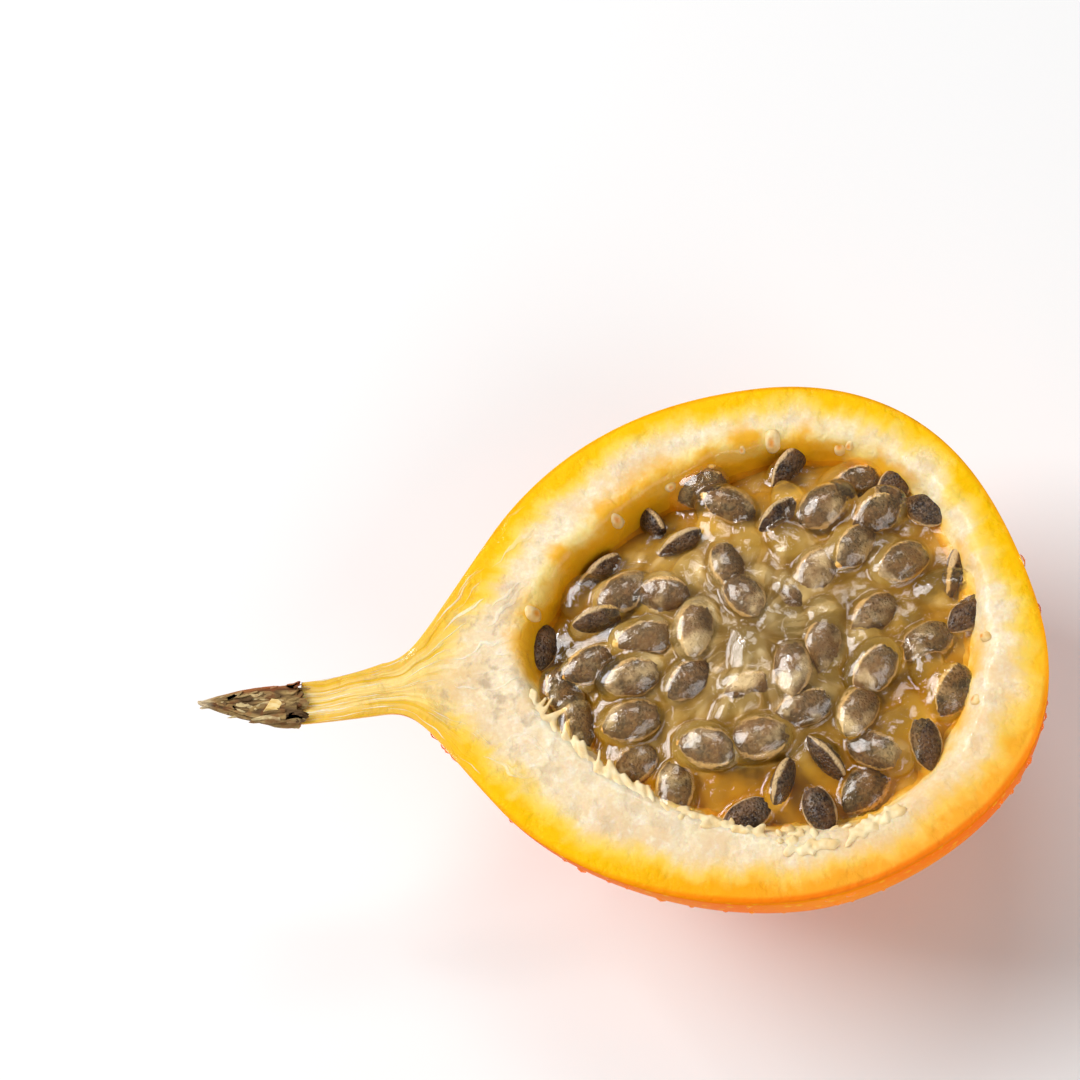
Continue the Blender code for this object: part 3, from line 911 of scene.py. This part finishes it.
# %% Fuse them, and wrinkle the skin
fuse_mesh(jelly, 0.30 * MM, 2)
bm = bmesh.new()
bm.from_mesh(jelly.data)
bm.normal_update()
for vert in bm.verts:
    wrinkle = noise.noise(vert.co * 1300) * 0.05 + abs(noise.noise(vert.co * 480)) * 0.15
    middle = 1 - min(reach_of(vert.co.x, vert.co.y)[0] / 0.5, 1)
    wrinkle += noise.noise(vert.co * 230) * (0.50 - 0.10 * middle)
    vert.co += vert.normal * wrinkle * MM

# %% Mark its creases: where the mesh lies lower than a smoothed copy of itself
fine_shape = [vert.co.copy() for vert in bm.verts]
smooth_all(bm, 40)
reach_layer = bm.verts.layers.float.new("reach")
relief_layer = bm.verts.layers.float.new("relief")
for vert, place in zip(bm.verts, fine_shape):
    vert[relief_layer] = (place.z - vert.co.z) / (0.5 * MM)
    vert[reach_layer] = reach_of(place.x, place.y)[0]
    vert.co = place
bm.to_mesh(jelly.data)
bm.free()
print("creases marked on", len(jelly.data.vertices), "points")

# %% [markdown]
# ## Pegs, torn pith and scars
# Small parts make the hollow look real. Each seed hung from the wall on a stalk, and where it
# was pulled off, a pale scar is left on the seed and a peg with an orange tip on the wall. The
# knife also tore the near edge of the pith into short tongues and crumbs. All are copies of a
# few small patterns. The tongues and crumbs are fused, so that they grow out of one another.

# %% Material: torn pith and pegs
def pith_bits(name, dark, light):
    made, tree, shader, output = new_material(name)
    tone = cloudy(tree, 700, 3, 0.3, 0.7)
    base = blend(tree, tone, dark, light)
    base = blend(tree, attribute(tree, "tip"), base, colour(240, 146, 8))
    tree.links.new(base, shader.inputs["Base Color"])
    set_sockets(shader, {"Roughness": 0.35, "Specular IOR Level": 0.3, "Subsurface Weight": 0.1,
                         "Subsurface Radius": (1.0, 0.7, 0.4), "Subsurface Scale": 0.0005})
    roughen(tree, shader, tone, 0.4, 0.0002)
    return made


strand_finish = pith_bits("pith_strands", colour(246, 210, 146), colour(255, 234, 188))
peg_finish = pith_bits("wall_peg", colour(236, 190, 108), colour(252, 224, 168))

# %% Patterns: a peg with a scar on its end, and a tapered tongue
bm = bmesh.new()
tip_layer = bm.verts.layers.float.new("tip")
bmesh.ops.create_icosphere(bm, subdivisions=3, radius=1 * MM)
for vert in bm.verts:
    up = max(vert.co.z / MM, 0)
    vert[tip_layer] = max(up - 0.78, 0) * 4
    vert.co.xy *= 1 - 0.30 * up + 0.25 * noise.noise(vert.co * 900)
    vert.co.z -= 0.30 * MM * max(up - 0.8, 0) / 0.2
peg_mesh = pattern_mesh("one_peg", bm)
bm = bmesh.new()
bmesh.ops.create_cone(bm, cap_ends=True, segments=8, radius1=0.90 * MM, radius2=0.48 * MM, depth=2.6 * MM)
sides = [edge for edge in bm.edges if abs(edge.verts[0].co.z - edge.verts[1].co.z) > 1 * MM]
bmesh.ops.subdivide_edges(bm, edges=sides, cuts=4, use_grid_fill=True)
for vert in bm.verts:
    up = vert.co.z / (2.6 * MM) + 0.5
    vert.co.x += 0.5 * MM * up * up
    vert.co.y *= 0.75
    vert.co.z += 1.3 * MM
tongue_mesh = pattern_mesh("one_tongue", bm)
bm = bmesh.new()
bmesh.ops.create_icosphere(bm, subdivisions=2, radius=1)
crumb_mesh = pattern_mesh("one_crumb", bm)

# %% Set the pegs on the wall
def wall_spot(turn, reach):
    """A place on the wall at a turn, where the flat sheet had this reach, and the way inward."""
    direction = Vector((math.cos(math.radians(turn)), math.sin(math.radians(turn))))
    flat = plan_point(direction, reach)
    place = hollow(flat.x, flat.y)[0]
    return Vector((place.x, place.y, place.z + cut_height)), (cavity_middle - place.xy).normalized()


random.seed(5)
bm = bmesh.new()
far_pegs = 9
near_pegs = 4
for i in range(far_pegs + near_pegs):
    turn = random.uniform(60, 165) if i < far_pegs else random.uniform(-85, 0)
    place, inward = wall_spot(turn, random.uniform(0.95, 0.99))
    aim = Vector((inward.x, inward.y, random.uniform(0.5, 1.1))).to_track_quat("Z", "Y").to_matrix().to_4x4()
    wide = random.uniform(0.5, 1.1)
    size = Matrix.Diagonal((wide, wide * random.uniform(0.9, 1.6), random.uniform(0.6, 1.0), 1))
    add_copy(bm, peg_mesh, Matrix.Translation(place) @ aim @ Matrix.Translation((0, 0, -0.3 * MM)) @ size)
finish_piece(bm, "wall_pegs", [peg_finish])

# %% Set the tongues and crumbs of torn pith along the near edge, and fuse them
large_tongues = 19
small_tongues = 14
thin_tongues = 9
bm = bmesh.new()
for i in range(large_tongues + small_tongues + thin_tongues):
    if i < large_tongues:
        turn, long, wide = -161 + 49 * i / large_tongues, random.uniform(0.7, 1.35), random.uniform(0.5, 0.85)
    elif i < large_tongues + small_tongues:
        turn = -112 + 39 * (i - large_tongues) / small_tongues
        long, wide = random.uniform(0.6, 1.0), random.uniform(0.5, 0.8)
    else:
        turn, long, wide = random.uniform(-160, -95), random.uniform(0.9, 1.4), random.uniform(0.34, 0.45)
    place, inward = wall_spot(turn + random.uniform(-2, 2), random.uniform(1.02, 1.05))
    lean = inward * 0.7 + Vector((-inward.y, inward.x)) * random.gauss(0.68, 0.22)
    aim = Vector((lean.x, lean.y, random.uniform(-0.14, 0.02))).to_track_quat("Z", "Y").to_matrix().to_4x4()
    add_copy(bm, tongue_mesh, Matrix.Translation(place - Vector((0, 0, 0.78 * MM * wide))) @ aim
             @ Matrix.Rotation(random.uniform(-0.4, 0.4), 4, "Z") @ Matrix.Diagonal((wide, wide, long, 1)))
edge_crumbs = 40
ridge_crumbs = 50
for i in range(edge_crumbs + ridge_crumbs):
    share = random.random()
    if i < edge_crumbs:
        turn, reach = -112 + 60 * share, random.uniform(0.985, 1.035)
    else:
        turn, reach = -86 + 30 * share, 1.075 - 0.075 * share + random.uniform(-0.014, 0.014)
    place, inward = wall_spot(turn, reach)
    size = Vector((random.uniform(0.45, 1.15), random.uniform(0.35, 0.6), random.uniform(0.28, 0.45))) * MM
    add_copy(bm, crumb_mesh, Matrix.Translation(place) @ Matrix.Rotation(random.uniform(0, TURN), 4, "Z")
             @ Matrix.Rotation(random.uniform(-0.5, 0.5), 4, "Y") @ Matrix.Diagonal((*size, 1)))
torn = finish_piece(bm, "torn_pith", [strand_finish])
fuse_mesh(torn, 0.16 * MM, 5)

# %% Material and copies: scars where the seeds hung
scar_finish, tree, shader, output = new_material("seed_scar")
tone = cloudy(tree, 1500, 2, 0.3, 0.7)
tree.links.new(blend(tree, tone, colour(214, 158, 62), colour(246, 212, 140)), shader.inputs["Base Color"])
shader.inputs["Roughness"].default_value = 0.4
bm = bmesh.new()
for seed_frame, length, width, milky in seed_frames:
    if milky > 0.04 and random.random() < 0.4:
        wide = random.uniform(0.3, 0.5) * MM
        size = Matrix.Diagonal((wide * 1.2, wide, 0.6 * wide, 1))
        add_copy(bm, sac_mesh, seed_frame @ Matrix.Translation((-length * 0.46, 0, 0)) @ size)
finish_piece(bm, "seed_scars", [scar_finish])

# %% [markdown]
# ## Dry end of the stalk
# The stalk broke off at a joint. Its end is dry, and worn to a point by flaking bark. A spun
# and roughened profile gives the wood. Over it lie thin, bent flakes, which are copies of one
# leaf-shaped strip, each in a tone of its own. A pale wedge shows where bark came away.

# %% Material: dry stalk
dry_finish, tree, shader, output = new_material("dry_stalk")
xyz = object_place(tree)
tone_value = attribute(tree, "tone")
grain = use_group(tree, fibres, "Mask", Scale=2600, Stretch=0.22, Low=0.35, High=0.65)
stain = cloudy(tree, 900, 3, 0.48, 0.60)
base = blend(tree, spread(tree, tone_value, 0.0, 0.5), colour(92, 66, 36), colour(170, 138, 84))
base = blend(tree, spread(tree, tone_value, 0.5, 1.0), base, colour(240, 216, 160))
base = tint(tree, base, grain, 0.45, colour(78, 54, 30))
base = tint(tree, base, stain, 0.35, colour(132, 66, 22))
# A red-brown line along the upper edge, partly painted reflected light: its red stands for orange light
# bounced onto it from a fruit beside it.
upper = times(tree, spread(tree, xyz[1], tip_high.y - 0.0022, tip_high.y - 0.0010), 0.8)
base = blend(tree, upper, base, colour(168, 74, 16))
pale = spread(tree, xyz[0], tip_low.x + 0.0006, tip_low.x + 0.0026, 1.0, 0.0)
base = tint(tree, base, pale, 0.75, colour(220, 200, 164))
tree.links.new(base, shader.inputs["Base Color"])
set_sockets(shader, {"Roughness": 0.7, "Specular IOR Level": 0.25})
roughen(tree, shader, grain, 0.6, 0.0002, invert=True)
chip_finish, tree, shader, output = new_material("pale_chip")
grain = use_group(tree, fibres, "Mask", Scale=2400, Stretch=0.2)
tree.links.new(blend(tree, grain, colour(232, 186, 96), colour(252, 226, 160)), shader.inputs["Base Color"])
shader.inputs["Roughness"].default_value = 0.55

# %% Pattern: one flake, a bent and pointed strip
bm = bmesh.new()
bm.verts.layers.float.new("tone")
bmesh.ops.create_grid(bm, x_segments=8, y_segments=4, size=1)
for vert in bm.verts:
    along = (vert.co.x + 1) / 2
    width = math.sin(math.pi * min(0.16 + 0.84 * along, 1)) ** 0.6 * 0.9 + 0.08
    side = vert.co.y * width
    vert.co = Vector((along, side, 0.12 * along * along - 0.35 * side * side + 0.05 * math.sin(9 * along)))
bmesh.ops.solidify(bm, geom=bm.faces[:], thickness=0.10)
flake_mesh = pattern_mesh("one_flake", bm)

# %% Build the dry end
tip_profile = [(0, 2.4), (0.02, 2.6), (0.08, 2.5), (0.16, 2.6), (0.24, 2.7), (0.35, 2.5), (0.46, 2.1),
               (0.57, 1.75), (0.68, 1.35), (0.79, 1.0), (0.90, 0.55), (0.97, 0.28), (1, 0.12)]


def tip_place(along, turn, radius):
    """A place round the dry end, at a share of its length, a turn and a radius in metres."""
    x = tip_start_x - tip_length * along
    side = radius * math.cos(turn)
    if side > 0:
        side *= 0.88
    y = side + bow(x) + (1.3 * along ** 1.6 - 0.05) * MM
    return Vector((x, y, min(radius * math.sin(turn), 0.9 * MM) + cut_height))


bm = bmesh.new()
tone_layer = bm.verts.layers.float.new("tone")
points = [bm.verts.new((along, 0, radius)) for along, radius in tip_profile]
edges = [bm.edges.new(pair) for pair in zip(points, points[1:])]
bmesh.ops.subdivide_edges(bm, edges=edges, cuts=4)
bmesh.ops.spin(bm, geom=bm.verts[:] + bm.edges[:], cent=(0, 0, 0), axis=(1, 0, 0), angle=TURN, steps=72,
               use_merge=True)
bmesh.ops.remove_doubles(bm, verts=bm.verts[:], dist=MERGE)
bmesh.ops.holes_fill(bm, edges=[edge for edge in bm.edges if edge.is_boundary], sides=0)
for vert in bm.verts:
    along, turn, radius = vert.co.x, math.atan2(vert.co.z, vert.co.y), vert.co.yz.length
    groove = abs(noise.noise(Vector((along * 2.2, math.cos(turn) * 2.6, math.sin(turn) * 2.6))))
    vert[tone_layer] = min(groove * 1.8, 0.6)
    vert.co = tip_place(along, turn, radius * (0.86 + 0.5 * groove) * MM)


def add_flake(bm, place, run, outward, size, tone):
    """Lays a flake on the wood, pointing along the run, with its own tone."""
    outward = (outward - run * outward.dot(run)).normalized()
    facing = Matrix((run, outward.cross(run), outward)).transposed().to_4x4()
    made = add_copy(bm, flake_mesh, Matrix.Translation(place) @ facing @ Matrix.Diagonal((*size, 1)))
    tone_layer = bm.verts.layers.float["tone"]
    for vert in made:
        vert[tone_layer] = tone


# %% Lay bark along the wood, and a collar of flakes that point over the stalk
random.seed(8)
bark_flakes = 90
collar_flakes = 22
upper_collar_flakes = 14
flake_step = 0.09
for _ in range(bark_flakes):
    along = random.uniform(0.10, 0.90)
    turn = random.uniform(0, TURN)
    radius = next(radius for step, radius in tip_profile if step >= along) * MM
    place = tip_place(along, turn, radius * 0.98)
    outward = place - tip_place(along, turn, 0)
    if outward.length < 0.1 * MM:
        continue
    towards_tip = random.uniform(-1, 1) > -0.5
    next_radius = next(radius for step, radius in tip_profile if step >= along + flake_step) * MM
    run = tip_place(along + flake_step, turn + random.uniform(-0.15, 0.15), next_radius) - place
    run = (run if towards_tip else -run).normalized()
    size = Vector((random.uniform(1.8, 4.4) * (1.1 - 0.6 * along), random.uniform(0.2, 0.6),
                   random.uniform(0.4, 1.0))) * MM
    add_flake(bm, place, run, outward.normalized(), size, random.uniform(0.05, 1.0))
for i in range(collar_flakes):
    on_top = i < upper_collar_flakes
    turn = random.uniform(0.08, 0.92) * math.pi if on_top else random.uniform(-0.4, 1.4) * math.pi
    place = tip_place(0.10, turn, 2.75 * MM)
    run = Vector((1, random.uniform(-0.25, 0.25), -0.12 if on_top else 0)).normalized()
    size = Vector((random.uniform(1.4, 2.9), random.uniform(0.4, 0.9), 0.7)) * MM
    outward = place - tip_place(0.10, turn, 0)
    add_flake(bm, place, run, outward, size, random.choice((0.0, 0.0, 0.1, 0.3, 0.6)))
for vert in bm.verts:
    x = min(max(vert.co.x, tip_low.x), tip_high.x + 1.5 * MM)
    y = min(max(vert.co.y, tip_low.y), tip_high.y)
    vert.co = Vector((x, y, min(vert.co.z, cut_height + 1.1 * MM)))
wood_faces = set(bm.faces)
chip = bmesh.ops.create_cone(bm, cap_ends=True, segments=4, radius1=1.6 * MM, radius2=1.1 * MM,
                             depth=0.9 * MM)["verts"]
chip_place = Vector((tip_start_x - 2.8 * MM, bow(tip_start_x) - 0.3 * MM, cut_height + 0.75 * MM))
bmesh.ops.transform(bm, verts=chip, matrix=Matrix.Translation(chip_place) @ Matrix.Rotation(0.5, 4, "Z")
                    @ Matrix.Rotation(0.25, 4, "Y") @ Matrix.Diagonal((1.1, 0.8, 0.8, 1)))
for face in set(bm.faces) - wood_faces:
    face.material_index = 1
stalk_tip = finish_piece(bm, "dry_stalk_tip", [dry_finish, chip_finish], sharp=40)
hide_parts("stem_tip")

# %% [markdown]
# ## Dew
# The peel carries small drops of dew. A drop is a flattened ball, half sunk in the peel that
# it wets, and clear enough to bend the light. Its shadow is left out, because so small a lens
# only brightens the spot. The drops are larger and closer together just under the cut.

# %% Material: dew
dew_finish, tree, shader, output = new_material("dew")
set_sockets(shader, {"Base Color": colour(255, 250, 240), "Transmission Weight": 1.0, "IOR": 1.33})
ripple = cloudy(tree, 900, 1, 0.2, 0.8)
tree.links.new(spread(tree, ripple, 0.0, 1.0, 0.01, 0.06), shader.inputs["Roughness"])
no_shadow(tree, shader, output, (1, 1, 1, 1))

# %% Dew on the peel
def spots_between(low, high):
    """Faces of the peel between two heights, clear of the stalk. Spin numbers its faces anew in
    each run, so they are sorted by their corners, and the same drops come out each time."""
    spots = [face for face in shell.data.polygons if face.material_index == 1
             and low < face.center.z < high and face.center.x > neck_x + 4 * MM]
    return sorted(spots, key=lambda face: sorted(shell.data.vertices[i].co[:] for i in face.vertices))


random.seed(21)
bm = bmesh.new()
bmesh.ops.create_icosphere(bm, subdivisions=1, radius=1)
drop_mesh = pattern_mesh("one_drop", bm)
fine_drops = 130
rim_drops = 34
spots = random.sample(spots_between(0.15 * cut_height, cut_height - 1.0 * MM), fine_drops)
rim_spots = random.sample(spots_between(cut_height - 5.0 * MM, cut_height - 0.6 * MM), rim_drops)
bm = bmesh.new()
for spot in spots + rim_spots:
    wide = (random.uniform(0.45, 0.95) if spot in rim_spots else random.uniform(0.18, 0.60)) * MM
    aim = spot.normal.to_track_quat("Z", "Y").to_matrix().to_4x4()
    size = Matrix.Diagonal((wide * random.uniform(0.8, 1.3), wide, 0.55 * wide, 1))
    half = Vector((1, 1, 1)) * 0.55 * wide
    low, high = spot.center - half, spot.center + half
    if all(cad_box[0][i] < low[i] and high[i] < cad_box[1][i] for i in range(3)):
        add_copy(bm, drop_mesh, Matrix.Translation(spot.center) @ aim @ size)
finish_piece(bm, "dew_drops", [dew_finish])

# %% [markdown]
# ## Floor, light and camera
# A plain pale floor, a large soft key light from the left, a small one beside it for sparkle,
# softer lights above, on the right and in front, and a dim even surround. The camera looks down
# on the cut face.

# %% Floor
floor_finish, tree, shader, output = new_material("pale_floor")
set_sockets(shader, {"Base Color": (0.90, 0.90, 0.90, 1), "Roughness": 0.7})
bm = bmesh.new()
bmesh.ops.create_grid(bm, x_segments=1, y_segments=1, size=3)
mesh = bpy.data.meshes.new("floor")
bm.to_mesh(mesh)
bm.free()
mesh.materials.append(floor_finish)
floor = bpy.data.objects.new("floor", mesh)
bpy.context.collection.objects.link(floor)

# %% Lights
def area_light(name, place, size, power, tint=(1, 1, 1)):
    lamp = bpy.data.lights.new(name, "AREA")
    lamp.shape = "RECTANGLE"
    lamp.size, lamp.size_y = size
    lamp.energy = power
    lamp.color = tint
    made = bpy.data.objects.new(name, lamp)
    bpy.context.collection.objects.link(made)
    made.location = place
    made.rotation_euler = (Vector((0, 0, cut_height)) - Vector(place)).to_track_quat("-Z", "Y").to_euler()


area_light("key", (-0.62, 0.25, 0.60), (0.52, 0.52), 7.2)
area_light("sparkle", (-0.40, 0.45, 0.60), (0.05, 0.07), 0.5)
area_light("top", (0.05, 0.50, 0.70), (0.35, 0.20), 1.2)
area_light("fill", (0.50, -0.50, 0.50), (0.50, 0.50), 2.2)
area_light("front", (0.15, -0.75, 0.16), (0.40, 0.15), 1.2)
world = bpy.data.worlds.new("surround")
bpy.context.scene.world = world
world.use_nodes = True
world.node_tree.nodes["Background"].inputs["Color"].default_value = (1, 1, 1, 1)
world.node_tree.nodes["Background"].inputs["Strength"].default_value = 0.16
bpy.context.scene.view_settings.view_transform = "Standard"

# %% Camera
aim = Vector((-27.05 * MM, 16.09 * MM, cut_height))
azimuth = math.radians(23.25)
elevation = math.radians(64.1)
roll = math.radians(-27.1)
distance = 316.6 * MM
turned = (Matrix.Rotation(azimuth, 4, "Z") @ Matrix.Rotation(math.pi / 2 - elevation, 4, "X")
          @ Matrix.Rotation(roll, 4, "Z"))
camera_data = bpy.data.cameras.new("camera")
camera_data.lens = 85
camera_data.clip_start = 0.01
camera = bpy.data.objects.new("camera", camera_data)
bpy.context.collection.objects.link(camera)
camera.matrix_world = Matrix.Translation(aim) @ turned @ Matrix.Translation((0, 0, distance))
bpy.context.scene.camera = camera

# %% Print the solids' box and finish
print("solids' box", [[round(v / MM, 1) for v in c] for c in cad_box])
